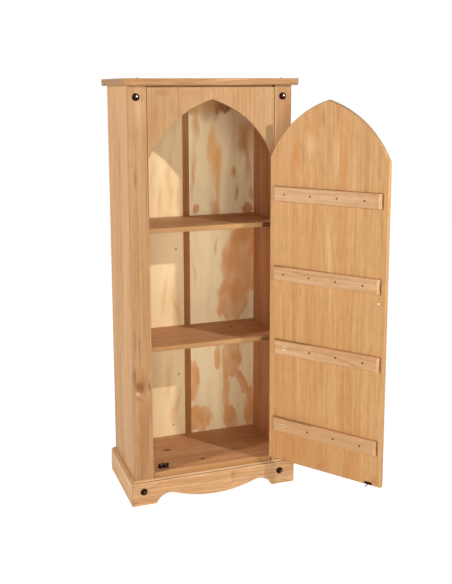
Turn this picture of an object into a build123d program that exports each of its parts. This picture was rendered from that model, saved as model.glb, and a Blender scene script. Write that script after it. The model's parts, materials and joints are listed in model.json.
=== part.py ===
from build123d import *
import os
from math import atan2, cos, hypot, pi, sin, sqrt

# Tall narrow pine cabinet with one pointed-arch door, two shelves and a scalloped plinth.
#
# Frame: the origin is on the floor, at the middle of the cabinet's width, in the plane of its
# back. +Z is up, the front faces -Y and +X is to the right of somebody who faces the front.
# The door hangs on the right stile and is built closed, then turned open about its hinge pins.

# ---------------------------------------------------------------- driving dimensions (mm)
# Case
case_width = 500.0            # over the outside faces of the two side panels
case_depth = 264.0            # front of the stiles to the rear edges of the side panels
case_height = 1248.0          # floor to the underside of the top board
side_thickness = 15.0
joint_play = 0.3              # the slip left at each end of a board that drops into place

# Face frame
stile_width = 57.0
stile_thickness = 15.0
stile_arris = 3.0             # rounding of the two outer front corners
head_drop = 39.5              # top board to the point of the arch
head_gap = 5.0                # dark slot between the head panel and the top board
head_shoulder = 2.0           # how far the head panel is let into each stile
arch_rise = 170.0             # springing line to the point
arch_radius = 309.0           # each side of the arch
bottom_rail_height = 43.0

# Top board and what holds it
top_thickness = 20.0
top_overhang = 16.0           # past the case at the front and both sides
top_round_upper = 8.0
top_round_lower = 5.0
top_corner_radius = 4.0
top_rail_height = 30.0
top_rail_thickness = 18.0
top_cleat = 18.0              # square section

# Plinth
plinth_height = 75.0
plinth_thickness = 14.0
plinth_mould_radius = 8.0     # quarter round along the top edge
plinth_quirk = 1.7            # the step under the quarter round
plinth_arris = 1.2
scallop_centre_height = 3.0   # the belly of the apron almost meets the floor
scallop_peak_height = 29.0
scallop_peak_offset = 145.0   # from the middle of the apron to each peak
scallop_end_radius = 47.0
plinth_rear_thickness = 16.0
plinth_block = 20.0           # square section of the corner blocks
plinth_block_height = 50.0

# Floor board and shelves
floor_thickness = 15.0
floor_setback = 4.0           # its nose stands behind the stile faces
floor_side_gap = 3.0          # dark gap beside its front tongue
floor_nose_radius = 4.0
floor_cleat = 18.0
lower_bay = 364.0             # clear height, floor board to lower shelf
middle_bay = 348.0            # clear height, lower shelf to upper shelf
shelf_thickness = 15.0
shelf_setback = 51.5          # from the stile faces
shelf_arris = 1.5
shelf_cleat = 12.0
shelf_cleat_setback = 40.0    # behind the shelf's front edge

# Back
ply_thickness = 4.0
ply_lap = 12.0                # how far each panel covers a side panel's rear edge
muntin_width = 20.7
muntin_lip = 2.0
muntin_web = 5.0

# Door
door_thickness = 16.0
door_gap = 2.5                # all round, between the door and the face frame
door_floor_gap = 4.5
door_arris = 1.5
plank_count = 4
plank_groove = 1.8            # V joint on the outer face
rest_angle = 125.0            # how far the door stands open

# Battens across the inside of the door
batten_length = 349.0
batten_height = 42.0
batten_thickness = 12.0
batten_bevel_length = 7.0
batten_bevel_depth = 6.0
batten_arris = 1.5
top_batten_drop = 108.0       # below the door's springing line
bottom_batten_rise = 118.0    # above the door's bottom edge
batten_start = (17.5, 20.5, 15.5, 15.5)   # hinge edge to each batten, from the bottom one up
batten_raise = (0.0, 9.3, -1.8, 0.0)      # each one off the even spacing, as fixed by hand
batten_tilt = (0.0, 0.55, 0.0, 0.0)       # degrees

# Butt hinges
hinge_count = 2
hinge_height = 60.0
hinge_leaf_width = 13.0
hinge_knuckle_radius = 2.8
hinge_knuckles = 3
hinge_pin_radius = 1.4
hinge_proud = 1.0             # pin centre in front of the door's face
hinge_play = 0.3
hinge_relief_end = 2.0        # free height above and below the knuckles
hinge_end = 150.0             # lowest hinge above the door's foot, highest below its springing
pin_clearance = 0.05

# Domed studs
stud_diameter = 22.0
stud_rise = 6.5
stud_drop = 32.0              # below the top board
stud_left_inset = 23.7        # from the outside face of the case
stud_right_inset = 29.2
plinth_stud_height = 43.0
plinth_stud_left_inset = 36.3   # from the end of the plinth
plinth_stud_right_inset = 49.5

# Ring pull
handle_edge_distance = 22.0   # from the door's free edge
handle_height = 545.5         # above the door's bottom edge
rosette_radius = 17.0
rosette_edge = 0.8            # thickness at the rim, below the bevel
rosette_rim = 2.0
rosette_bevel = 1.6
rosette_boss_radius = 11.5
rosette_boss = 3.4
handle_post_width = 6.0
handle_post_wall = 1.5
ring_radius = 13.0            # centre line
ring_wire_radius = 1.8
ring_standoff = 7.0           # wire centre to the door's face
ring_play = 0.15
ring_flats = 8                # the wire is hammered to eight flats
handle_screw_radius = 2.0
handle_screw_bite = 3.6
handle_screw_play = 0.2
handle_screw_head = 3.8
handle_screw_rise = 2.4
handle_screw_bevel = 1.2

# Roller catch on the floor board, and its strike on the door
catch_inset = 41.0            # from the opening's left edge to the middle of the catch
catch_setback = 27.0          # from the stile faces
catch_width = 32.0
catch_depth = 13.0
catch_height = 10.4
catch_sheet = 1.2
catch_pivot_spacing = 15.0
catch_pivot_radius = 1.1
catch_pivot_from_back = 4.2
catch_arm_thickness = 1.5
catch_eye_wall = 1.3
catch_tip_wall = 0.7
roller_radius = 2.9
roller_gap = 6.0              # between the two rollers
roller_pin_radius = 0.9
roller_from_front = 3.4
catch_play = 0.3
strike_width = 24.0
strike_height = 7.4
strike_sheet = 1.4
strike_foot = 2.0             # lowest edge above the door's bottom edge
strike_neck = 2.4
strike_head = 4.0
strike_head_length = 4.5
strike_reach = 20.5           # from the door's inner face

# ---------------------------------------------------------------- planes and places
half_width = case_width / 2
side_inside = half_width - side_thickness
opening_half = half_width - stile_width
muntin_half = muntin_width / 2

ply_back_y = -muntin_lip
side_rear_y = ply_back_y - ply_thickness
front_y = side_rear_y - case_depth
stile_rear_y = front_y + stile_thickness
muntin_front_y = side_rear_y - muntin_lip
board_rear_y = muntin_front_y - joint_play

floor_top = plinth_height + floor_thickness
lower_shelf_top = floor_top + lower_bay + shelf_thickness
upper_shelf_top = lower_shelf_top + middle_bay + shelf_thickness

apex_z = case_height - head_drop
spring_z = apex_z - arch_rise

door_half = opening_half - door_gap
door_bottom = floor_top + door_floor_gap
door_back_y = front_y + door_thickness
hinge_x = opening_half - door_gap / 2
hinge_y = front_y - hinge_proud
hinge_axis = Axis((hinge_x, hinge_y, 0), (0, 0, 1))

catch_x = -opening_half + catch_inset
catch_front_y = front_y + catch_setback
catch_back_y = catch_front_y + catch_depth


# ---------------------------------------------------------------- helpers
def block(x, y, z):
    """A box between two X, two Y and two Z planes."""
    size = [max(pair) - min(pair) for pair in (x, y, z)]
    centre = [sum(pair) / 2 for pair in (x, y, z)]
    return Pos(*centre) * Box(*size)


def mirrored(shape):
    """The same piece on the other side of the cabinet."""
    return mirror(shape, about=Plane.YZ)


def slab_xz(outline, y_front, y_back):
    """An outline drawn in X and Z, made solid between two Y planes."""
    face = make_face(Plane.XZ.offset(-y_back) * outline)
    return extrude(face, amount=y_back - y_front, dir=(0, -1, 0))


def slab_xy(outline, z_low, z_high):
    """An outline drawn in X and Y, made solid between two Z planes."""
    face = make_face(Plane.XY.offset(z_low) * outline)
    return extrude(face, amount=z_high - z_low, dir=(0, 0, 1))


def rod_z(x, y, z_low, z_high, radius):
    """An upright cylinder."""
    return Pos(x, y, (z_low + z_high) / 2) * Cylinder(radius, z_high - z_low)


def rod_y(x, y_low, y_high, z, radius):
    """A cylinder that runs front to back."""
    return Pos(x, (y_low + y_high) / 2, z) * Rot(90, 0, 0) * Cylinder(radius, y_high - y_low)


def arc_between(centre, radius, start, end):
    """The short arc about a centre from one point to another."""
    first = atan2(start[1] - centre[1], start[0] - centre[0])
    last = atan2(end[1] - centre[1], end[0] - centre[0])
    turn = (last - first + pi) % (2 * pi) - pi
    middle = first + turn / 2
    between = (centre[0] + radius * cos(middle), centre[1] + radius * sin(middle))
    return ThreePointArc(start, between, end)


def dome(diameter, rise):
    """A spherical cap that stands on the XY plane."""
    half = diameter / 2
    ball = (half**2 + rise**2) / (2 * rise)
    rim, crown = (half, 0), (0, rise)
    edge = arc_between((0, rise - ball), ball, rim, crown)
    outline = edge + Polyline(crown, (0, 0), rim)
    return revolve(make_face(Plane.XZ * outline), Axis.Z)


def save(name, *solids):
    """Write one node, as one solid or as a group of separate solids."""
    shape = solids[0] if len(solids) == 1 else Compound(children=list(solids))
    shape.label = name
    export_step(shape, f"parts/{name}.step")


def save_on_door(name, *solids):
    """Write a node that hangs on the door, turned open with it."""
    save(name, *[solid.rotate(hinge_axis, rest_angle) for solid in solids])


# ---------------------------------------------------------------- the pointed arch
# The right-hand arc runs from the springing line to the point. Its centre lies past the
# middle line and below the springing line, so the curve meets the upright at an angle.
chord = hypot(opening_half, arch_rise)
to_centre = sqrt(arch_radius**2 - chord**2 / 4)
arc_centre_x = opening_half / 2 - to_centre * arch_rise / chord
arc_centre_z = spring_z + arch_rise / 2 - to_centre * opening_half / chord


def arch_width_at(inset, z):
    """Half the arch's width at a height, for the outline moved in by inset."""
    return arc_centre_x + sqrt((arch_radius - inset)**2 - (z - arc_centre_z)**2)


def arch_height_at(inset, x):
    """Height of the arc above a place, for the outline moved in by inset."""
    return arc_centre_z + sqrt((arch_radius - inset)**2 - (x - arc_centre_x)**2)


def arch_outline(inset, z_bottom):
    """Closed outline of the opening, or of the door when it is moved in by the door's gap."""
    half = opening_half - inset
    spring = (half, arch_height_at(inset, half))
    point = (0, arch_height_at(inset, 0))
    right = arc_between((arc_centre_x, arc_centre_z), arch_radius - inset, spring, point)
    left_spring = (-spring[0], spring[1])
    left = arc_between((-arc_centre_x, arc_centre_z), arch_radius - inset, point, left_spring)
    sides = Polyline(left_spring, (-half, z_bottom), (half, z_bottom), spring)
    return right + left + sides


door_spring = arch_height_at(door_gap, door_half)


# ---------------------------------------------------------------- case
def side_panel():
    """The left side: a plain board from the floor to the top board, behind the stile."""
    return block((-half_width, -side_inside), (stile_rear_y, side_rear_y), (0, case_height))


def stile():
    """The left stile: full width up to the springing, then stepped back for the head panel."""
    outline = Polyline(
        (-half_width, 0), (-opening_half, 0), (-opening_half, spring_z),
        (-opening_half - head_shoulder, spring_z), (-opening_half - head_shoulder, case_height),
        (-half_width, case_height), (-half_width, 0))
    board = slab_xz(outline, front_y, stile_rear_y)
    corner = board.edges().filter_by(Axis.Z).sort_by(Axis.X)[:2].sort_by(Axis.Y)[0]
    return fillet(corner, stile_arris)


def head_panel():
    """The board between the stiles with the arch cut out of it; its toes stand on shoulders."""
    half = opening_half + head_shoulder
    board = block((-half, half), (front_y, stile_rear_y), (spring_z, case_height - head_gap))
    return board - slab_xz(arch_outline(0, 0), front_y - 1, stile_rear_y + 1)


def bottom_rail():
    """The face frame's lowest member, hidden behind the plinth; the floor's tongue lies on it."""
    z = (plinth_height - bottom_rail_height, plinth_height)
    return block((-opening_half, opening_half), (front_y, stile_rear_y), z)


def top_board():
    """The top, with rounded edges at the front and sides and a square edge at the wall."""
    x = half_width + top_overhang
    y = front_y - top_overhang
    board = block((-x, x), (y, 0), (case_height, case_height + top_thickness))
    corners = board.edges().filter_by(Axis.Z).group_by(Axis.Y)[0]
    board = fillet(corners, top_corner_radius)
    for face, radius in ((board.faces().sort_by(Axis.Z)[-1], top_round_upper),
                         (board.faces().sort_by(Axis.Z)[0], top_round_lower)):
        rim = [edge for edge in face.edges() if edge.center().Y < -1]
        board = fillet(rim, radius)
    return board


def top_rail_front():
    """Rail behind the head panel, which the top board is screwed to."""
    z = (case_height - top_rail_height, case_height)
    y = (stile_rear_y, stile_rear_y + top_rail_thickness)
    return block((-side_inside, side_inside), y, z)


def top_rail_rear():
    """Rail across the back, notched for the muntin's front lip."""
    z = (case_height - top_rail_height, case_height)
    rail = block((-side_inside, side_inside), (side_rear_y - top_rail_thickness, side_rear_y), z)
    half = muntin_half + joint_play
    return rail - block((-half, half), (muntin_front_y - joint_play, 0), z)


def top_cleat_left():
    """Square cleat in the corner of the side panel and the top board."""
    y = (stile_rear_y + top_rail_thickness + joint_play, side_rear_y - top_rail_thickness - joint_play)
    return block((-side_inside, -side_inside + top_cleat), y, (case_height - top_cleat, case_height))


def floor_board():
    """The lowest shelf: between the side panels, with a rounded tongue between the stiles."""
    half = side_inside - joint_play
    tongue = opening_half - floor_side_gap
    nose_y = front_y + floor_setback
    z = (plinth_height, floor_top)
    nose = block((-tongue, tongue), (nose_y, stile_rear_y + 1), z)
    front_edges = nose.edges().filter_by(Axis.X).group_by(Axis.Y)[0].sort_by(Axis.Z)
    nose = fillet(front_edges[-1], floor_nose_radius)
    return block((-half, half), (stile_rear_y + joint_play, board_rear_y), z) + nose


def floor_cleat_left():
    """Square cleat that carries the floor board along a side panel."""
    y = (stile_rear_y, -plinth_rear_thickness)
    z = (plinth_height - floor_cleat, plinth_height)
    return block((-side_inside, -side_inside + floor_cleat), y, z)


def shelf(top):
    """A fixed shelf with softened front arrises."""
    half = side_inside - joint_play
    board = block((-half, half), (front_y + shelf_setback, board_rear_y), (top - shelf_thickness, top))
    return fillet(board.edges().filter_by(Axis.X).group_by(Axis.Y)[0], shelf_arris)


def shelf_cleat_left(top):
    """Small square cleat under the end of a shelf."""
    y = (front_y + shelf_setback + shelf_cleat_setback, muntin_front_y - shelf_cleat)
    z = (top - shelf_thickness - shelf_cleat, top - shelf_thickness)
    return block((-side_inside, -side_inside + shelf_cleat), y, z)


# ---------------------------------------------------------------- back
def back_panel_left():
    """Thin plywood panel on the side panel's rear edge, let into the muntin."""
    x = (-side_inside - ply_lap, -muntin_web / 2 - joint_play)
    return block(x, (side_rear_y, ply_back_y), (plinth_height, case_height))


def muntin():
    """H-section strip that joins the two back panels."""
    z = (plinth_height, case_height)
    front_lip = block((-muntin_half, muntin_half), (muntin_front_y, side_rear_y), z)
    rear_lip = block((-muntin_half, muntin_half), (ply_back_y, 0), z)
    return front_lip + rear_lip + block((-muntin_web / 2, muntin_web / 2), (muntin_front_y, 0), z)


# ---------------------------------------------------------------- plinth
def plinth_section():
    """Section of a plinth board: X is outwards from the case, Y is up."""
    face, lip = plinth_thickness, plinth_thickness - plinth_quirk
    shoulder = plinth_height - plinth_mould_radius
    centre = (lip - plinth_mould_radius, shoulder)
    crown = (centre[0], plinth_height)
    arris_centre = (face - plinth_arris, shoulder - plinth_arris)
    arris_low, arris_top = (face, arris_centre[1]), (arris_centre[0], shoulder)
    outline = Polyline((0, 0), (face, 0), arris_low)
    outline += arc_between(arris_centre, plinth_arris, arris_low, arris_top)
    outline += Line(arris_top, (lip, shoulder)) if lip < arris_top[0] else []
    outline += arc_between(centre, plinth_mould_radius, (lip, shoulder), crown)
    return outline + Polyline(crown, (0, plinth_height), (0, 0))


def plinth_run(origin, outward, along, length):
    """A moulded board along one side of the case."""
    plane = Plane(origin=origin, x_dir=outward, z_dir=along)
    return extrude(make_face(plane * plinth_section()), amount=length, dir=along)


def mitre_wedge():
    """Everything to the left of the mitre at the plinth's front left corner."""
    reach = plinth_thickness + 5
    near, far = (-half_width, front_y), (-half_width - reach, front_y - reach)
    back = (-half_width - reach, 5)
    outline = Polyline(near, far, back, (-half_width, 5), near)
    return slab_xy(outline, -1, plinth_height + 1)


def scallop():
    """The space under the apron: two hollow ends that run into one long belly."""
    drop = scallop_peak_height - scallop_centre_height
    end = scallop_end_radius
    belly = (scallop_peak_offset**2 + drop**2) / (2 * drop) - end
    end_centre = (scallop_peak_offset, scallop_peak_height - end)
    belly_centre = (0, scallop_centre_height + belly)
    share = end / (belly + end)
    meet = (end_centre[0] * (1 - share), end_centre[1] + share * (belly_centre[1] - end_centre[1]))
    foot = (end_centre[0] + sqrt(end**2 - end_centre[1]**2), 0)
    low, meet_left, foot_left = (0, scallop_centre_height), (-meet[0], meet[1]), (-foot[0], 0)
    left_centre = (-end_centre[0], end_centre[1])
    outline = arc_between(left_centre, end, foot_left, meet_left)
    outline += arc_between(belly_centre, belly, meet_left, low)
    outline += arc_between(belly_centre, belly, low, meet)
    outline += arc_between(end_centre, end, meet, foot)
    outline += Polyline(foot, (foot[0], -1), (foot_left[0], -1), foot_left)
    return slab_xz(outline, front_y - plinth_thickness - 1, front_y + 1)


def plinth_front():
    """Scalloped board across the front, mitred at both ends."""
    reach = half_width + plinth_thickness
    board = plinth_run((reach, front_y, 0), (0, -1, 0), (-1, 0, 0), 2 * reach)
    return board - scallop() - mitre_wedge() - mirrored(mitre_wedge())


def plinth_left():
    """Plain board along the left side, mitred to the front one."""
    start = front_y - plinth_thickness
    board = plinth_run((-half_width, start, 0), (-1, 0, 0), (0, 1, 0), -start)
    return board & mitre_wedge()


def plinth_rear():
    """Rail between the side panels at the back; the floor board and the back stand on it."""
    return block((-side_inside, side_inside), (-plinth_rear_thickness, 0), (0, plinth_height))


def plinth_blocks():
    """Glue blocks in the four inside corners."""
    x = (-side_inside, -side_inside + plinth_block)
    z = (0, plinth_block_height)
    front = block(x, (stile_rear_y, stile_rear_y + plinth_block), z)
    rear = block(x, (-plinth_rear_thickness - plinth_block, -plinth_rear_thickness), z)
    return [front, rear, mirrored(front), mirrored(rear)]


# ---------------------------------------------------------------- door, built closed
def handle_place():
    """X and Z of the ring pull on the closed door."""
    return -door_half + handle_edge_distance, door_bottom + handle_height


def hinge_heights():
    """Middle of each hinge, spread evenly up the straight part of the door."""
    low, high = door_bottom + hinge_end, door_spring - hinge_end
    return [low + (high - low) * i / (hinge_count - 1) for i in range(hinge_count)]


def hinge_relief():
    """Round hollow for the knuckles in the stile's corner and in the door's."""
    radius = hinge_knuckle_radius + hinge_play
    reach = hinge_height / 2 + hinge_relief_end
    return [rod_z(hinge_x, hinge_y, z - reach, z + reach, radius) for z in hinge_heights()]


def batten_places():
    """For each batten, from the bottom one up: X of its hinge end, Z of its middle, tilt."""
    low, high = door_bottom + bottom_batten_rise, door_spring - top_batten_drop
    pitch = (high - low) / (len(batten_start) - 1)
    return [(door_half - start, low + i * pitch + raised, tilt)
            for i, (start, raised, tilt) in enumerate(zip(batten_start, batten_raise, batten_tilt))]


def set_batten(shape, place):
    """Move what is drawn about a batten's hinge end to its place on the door."""
    x, z, tilt = place
    return Pos(x, door_back_y, z) * Rot(0, tilt, 0) * shape


def door_blank():
    """The whole leaf in one piece, before it is parted into planks."""
    leaf = slab_xz(arch_outline(door_gap, door_bottom), front_y, door_back_y)
    rims = leaf.edges().group_by(Axis.Y)
    leaf = chamfer(rims[0] + rims[-1], door_arris)
    for relief in hinge_relief():
        leaf -= relief
    x, z = handle_place()
    return leaf - rod_y(x, front_y - 1, door_back_y + 1, z, handle_screw_radius + handle_screw_play)


def planks():
    """Upright planks with a V joint between each two on the outer face."""
    leaf = door_blank()
    width = 2 * door_half / plank_count
    seams = [-door_half + i * width for i in range(1, plank_count)]
    for x in seams:
        vee = Polyline((x - plank_groove, front_y), (x, front_y + plank_groove),
                       (x + plank_groove, front_y), (x, front_y - 1), (x - plank_groove, front_y))
        leaf -= slab_xy(vee, door_bottom - 1, apex_z)
    edges = [-door_half - 1, *seams, door_half + 1]
    y, z = (front_y - 1, door_back_y + 1), (0, apex_z)
    return [leaf & block(pair, y, z) for pair in zip(edges, edges[1:])]


def batten():
    """Ledge with bevelled ends, drawn about its hinge end."""
    face = batten_thickness
    outline = Polyline(
        (0, 0), (0, face - batten_bevel_depth), (-batten_bevel_length, face),
        (batten_bevel_length - batten_length, face), (-batten_length, face - batten_bevel_depth),
        (-batten_length, 0), (0, 0))
    bar = slab_xy(outline, -batten_height / 2, batten_height / 2)
    long_edges = bar.edges().filter_by(Axis.X).group_by(Axis.Y)[-1]
    return fillet(long_edges, batten_arris)


# ---------------------------------------------------------------- hinges
def hinge_bands(z_middle):
    """Low and high edge of each knuckle, from the bottom one up."""
    step = hinge_height / hinge_knuckles
    low = z_middle - hinge_height / 2
    return [(low + i * step, low + (i + 1) * step) for i in range(hinge_knuckles)]


def hinge_leaf(z_middle, x, first):
    """One leaf: a plate with every second knuckle, from the first one given."""
    reach = (hinge_height - hinge_play) / 2
    z = (z_middle - reach, z_middle + reach)
    leaf = block(x, (hinge_y, front_y + hinge_leaf_width), z)
    for i, (low, high) in enumerate(hinge_bands(z_middle)):
        if i % 2 == first:
            band = (low + hinge_play / 2, high - hinge_play / 2)
            leaf += rod_z(hinge_x, hinge_y, *band, hinge_knuckle_radius)
        else:
            band = (low - hinge_play / 2, high + hinge_play / 2)
            leaf -= rod_z(hinge_x, hinge_y, *band, hinge_knuckle_radius + hinge_play)
    return leaf - rod_z(hinge_x, hinge_y, z[0] - 1, z[1] + 1, hinge_pin_radius + pin_clearance)


def hinge_pin(z_middle):
    """Headless pin through all the knuckles."""
    half = hinge_height / 2
    return rod_z(hinge_x, hinge_y, z_middle - half, z_middle + half, hinge_pin_radius)


# ---------------------------------------------------------------- ring pull
def on_door_face(profile, y_face, outwards):
    """Turn a profile of radius and rise about the handle's axis, standing on a face of the door."""
    x, z = handle_place()
    solid = revolve(make_face(Plane.XZ * profile), Axis.Z)
    return Pos(x, y_face, z) * Rot(90 if outwards else -90, 0, 0) * solid


def rosette():
    """Round backplate with a drilled post that the ring hangs in."""
    x, z = handle_place()
    bore = ring_wire_radius + handle_post_width**2 / (8 * ring_radius) + ring_play
    post_half = bore + handle_post_wall
    tip = front_y - ring_standoff - post_half
    slope = rosette_boss - rosette_rim
    plate = on_door_face(Polyline(
        (0, 0), (rosette_radius, 0), (rosette_radius, rosette_edge),
        (rosette_radius - rosette_bevel, rosette_rim), (rosette_boss_radius, rosette_rim),
        (rosette_boss_radius - slope, rosette_boss), (0, rosette_boss), (0, 0)), front_y, True)
    half = handle_post_width / 2
    post = block((x - half, x + half), (tip, front_y - rosette_rim), (z - post_half, z + post_half))
    post = fillet(post.edges().filter_by(Axis.X).group_by(Axis.Y)[0], post_half * 0.9)
    eye = Pos(x, front_y - ring_standoff, z) * Rot(0, 90, 0) * Cylinder(bore, 4 * half)
    depth = handle_screw_bite + handle_screw_play
    thread = rod_y(x, front_y - depth, front_y + 1, z, handle_screw_radius + pin_clearance)
    return plate + post - eye - thread


def pull_ring():
    """Ring of hammered wire that hangs from the post."""
    x, z = handle_place()
    wire = Plane.XZ * Pos(ring_radius, 0) * RegularPolygon(ring_wire_radius, ring_flats)
    ring = revolve(wire, Axis.Z)
    return Pos(x, front_y - ring_standoff, z - ring_radius) * Rot(90, 0, 0) * ring


def handle_screw():
    """Screw from the inside of the door into the rosette, with a bright bevelled head."""
    x, z = handle_place()
    shank = rod_y(x, front_y - handle_screw_bite, door_back_y + 0.5, z, handle_screw_radius)
    crown = handle_screw_head - handle_screw_bevel
    head = on_door_face(Polyline(
        (0, 0), (handle_screw_head, 0), (handle_screw_head, handle_screw_rise - handle_screw_bevel),
        (crown, handle_screw_rise), (0, handle_screw_rise), (0, 0)), door_back_y, False)
    return shank + head


# ---------------------------------------------------------------- roller catch
catch_pivot_y = catch_back_y - catch_pivot_from_back
roller_y = catch_front_y + roller_from_front
roller_half = roller_gap / 2 + roller_radius
pivot_half = catch_pivot_spacing / 2
sheet_top = floor_top + catch_sheet
arm_low = sheet_top + catch_play
arm_top = arm_low + catch_arm_thickness
lid_low = floor_top + catch_height - catch_sheet


def catch_body():
    """Folded steel channel, open at the front, with the two pins that the arms turn on."""
    half = catch_width / 2
    x = (catch_x - half, catch_x + half)
    y = (catch_front_y, catch_back_y)
    base = block(x, y, (floor_top, sheet_top))
    lid = block(x, y, (lid_low, floor_top + catch_height))
    wall = block(x, (catch_back_y - catch_sheet, catch_back_y), (floor_top, floor_top + catch_height))
    body = base + lid + wall
    z = (floor_top, lid_low + catch_sheet / 2)
    for side in (-1, 1):
        body += rod_z(catch_x + side * pivot_half, catch_pivot_y, *z, catch_pivot_radius)
    return body


def catch_arm(side):
    """Short link with an eye on its pivot and an upright pin for the roller."""
    pivot = (catch_x + side * pivot_half, catch_pivot_y)
    roller = (catch_x + side * roller_half, roller_y)
    eye_radius = catch_pivot_radius + catch_eye_wall
    length = hypot(roller[0] - pivot[0], roller[1] - pivot[1])
    angle = atan2(roller[1] - pivot[1], roller[0] - pivot[0]) * 180 / pi
    z_mid = (arm_low + arm_top) / 2
    middle = ((pivot[0] + roller[0]) / 2, (pivot[1] + roller[1]) / 2)
    width = 2 * (roller_pin_radius + catch_tip_wall)
    bar = Box(length, width, catch_arm_thickness)
    link = Pos(middle[0], middle[1], z_mid) * Rot(0, 0, angle) * bar
    eye = rod_z(*pivot, arm_low, arm_top, eye_radius)
    tip = rod_z(*roller, arm_low, arm_top, width / 2)
    pin = rod_z(*roller, arm_low, lid_low - catch_play, roller_pin_radius)
    bore = rod_z(*pivot, arm_low - 1, arm_top + 1, catch_pivot_radius + pin_clearance)
    return link + eye + tip + pin - bore


def catch_roller(side):
    """Hollow roller on the arm's pin."""
    place = (catch_x + side * roller_half, roller_y)
    z = (arm_top + catch_play, lid_low - 2 * catch_play)
    return rod_z(*place, *z, roller_radius) - rod_z(*place, *z, roller_pin_radius + pin_clearance)


def strike():
    """Plate on the door with a spear-shaped tongue that runs in between the rollers."""
    low = door_bottom + strike_foot
    half, end = strike_width / 2, strike_height / 2
    middle = low + end
    x = (catch_x - half + end, catch_x + half - end)
    y = (door_back_y, door_back_y + strike_sheet)
    body = block(x, y, (low, low + strike_height))
    for side in (-1, 1):
        body += rod_y(catch_x + side * (half - end), *y, middle, end)
    neck, head = strike_neck / 2, strike_head / 2
    tip_y = door_back_y + strike_reach
    head_y = tip_y - strike_head_length
    spear = Polyline(
        (catch_x - neck, door_back_y), (catch_x - neck, head_y - 1), (catch_x - head, head_y),
        (catch_x - head, tip_y - head), (catch_x, tip_y), (catch_x + head, tip_y - head),
        (catch_x + head, head_y), (catch_x + neck, head_y - 1), (catch_x + neck, door_back_y),
        (catch_x - neck, door_back_y))
    return body + slab_xy(spear, low, low + strike_sheet)


# ---------------------------------------------------------------- nail heads
def stud(x, y, z):
    """Domed nail head on a front face."""
    return Pos(x, y, z) * Rot(90, 0, 0) * dome(stud_diameter, stud_rise)


# ---------------------------------------------------------------- write the nodes
os.makedirs("parts", exist_ok=True)

save("top_board", top_board())
save("side_panel_left", side_panel())
save("side_panel_right", mirrored(side_panel()))
save("stile_left", stile())
right_stile = mirrored(stile())
for hollow in hinge_relief():
    right_stile -= hollow
save("stile_right", right_stile)
save("head_panel", head_panel())
save("bottom_rail", bottom_rail())
save("top_rail_front", top_rail_front())
save("top_rail_rear", top_rail_rear())
save("top_cleats", top_cleat_left(), mirrored(top_cleat_left()))
save("floor_board", floor_board())
save("floor_cleats", floor_cleat_left(), mirrored(floor_cleat_left()))
save("shelf_upper", shelf(upper_shelf_top))
save("shelf_lower", shelf(lower_shelf_top))
cleats = [shelf_cleat_left(top) for top in (upper_shelf_top, lower_shelf_top)]
save("shelf_cleats", *cleats, *[mirrored(cleat) for cleat in cleats])
save("back_panel_left", back_panel_left())
save("back_panel_right", mirrored(back_panel_left()))
save("back_muntin", muntin())
save("plinth_front", plinth_front())
save("plinth_left", plinth_left())
save("plinth_right", mirrored(plinth_left()))
save("plinth_rear", plinth_rear())
save("plinth_blocks", *plinth_blocks())

stud_z = case_height - stud_drop
save("upper_studs", stud(-half_width + stud_left_inset, front_y, stud_z),
     stud(half_width - stud_right_inset, front_y, stud_z))
plinth_end = half_width + plinth_thickness
plinth_y = front_y - plinth_thickness
save("plinth_studs", stud(-plinth_end + plinth_stud_left_inset, plinth_y, plinth_stud_height),
     stud(plinth_end - plinth_stud_right_inset, plinth_y, plinth_stud_height))

for number, plank in enumerate(planks(), start=1):
    save_on_door(f"door_plank_{number}", plank)
for number, place in enumerate(batten_places(), start=1):
    save_on_door(f"door_batten_{number}", set_batten(batten(), place))

stile_side = (hinge_x + hinge_play / 2, opening_half)
door_side = (door_half, hinge_x - hinge_play / 2)
for number, height in enumerate(hinge_heights(), start=1):
    save(f"hinge_{number}_stile_leaf", hinge_leaf(height, stile_side, 0))
    save(f"hinge_{number}_pin", hinge_pin(height))
    save_on_door(f"hinge_{number}_door_leaf", hinge_leaf(height, door_side, 1))

save_on_door("handle_rosette", rosette())
save_on_door("handle_ring", pull_ring())
save_on_door("handle_screw", handle_screw())
save_on_door("catch_strike", strike())

save("catch_body", catch_body())
for name, side in (("left", -1), ("right", 1)):
    save(f"catch_arm_{name}", catch_arm(side))
    save(f"catch_roller_{name}", catch_roller(side))
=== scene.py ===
import json
from math import cos, pi, radians, sin, tan

import bmesh
import bpy
from bpy.props import FloatProperty, FloatVectorProperty, IntProperty, PointerProperty
from mathutils import Euler, Matrix, Vector


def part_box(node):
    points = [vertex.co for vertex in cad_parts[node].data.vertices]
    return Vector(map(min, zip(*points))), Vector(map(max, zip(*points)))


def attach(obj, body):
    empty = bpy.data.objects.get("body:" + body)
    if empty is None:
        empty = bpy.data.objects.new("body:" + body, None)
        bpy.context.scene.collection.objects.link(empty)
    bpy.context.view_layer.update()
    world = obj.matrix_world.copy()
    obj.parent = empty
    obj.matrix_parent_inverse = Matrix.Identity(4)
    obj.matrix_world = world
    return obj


bl_info = {
    "name": "Arched pine cabinet",
    "version": (1, 0, 0),
    "blender": (4, 5, 0),
    "location": "3D View > Sidebar > Cabinet",
    "description": "Finishes the boards, ironwork and small fastenings of an arched pine cabinet",
    "category": "Object",
}

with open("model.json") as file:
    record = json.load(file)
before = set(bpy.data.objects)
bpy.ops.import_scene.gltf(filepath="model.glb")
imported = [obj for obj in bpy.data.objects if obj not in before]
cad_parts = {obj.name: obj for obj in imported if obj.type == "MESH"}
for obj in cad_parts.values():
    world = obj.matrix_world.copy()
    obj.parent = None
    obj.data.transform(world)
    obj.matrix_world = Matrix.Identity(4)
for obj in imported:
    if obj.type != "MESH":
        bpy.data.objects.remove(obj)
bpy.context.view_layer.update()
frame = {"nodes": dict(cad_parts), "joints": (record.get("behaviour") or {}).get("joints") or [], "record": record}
X, Y, Z = range(3)


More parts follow.
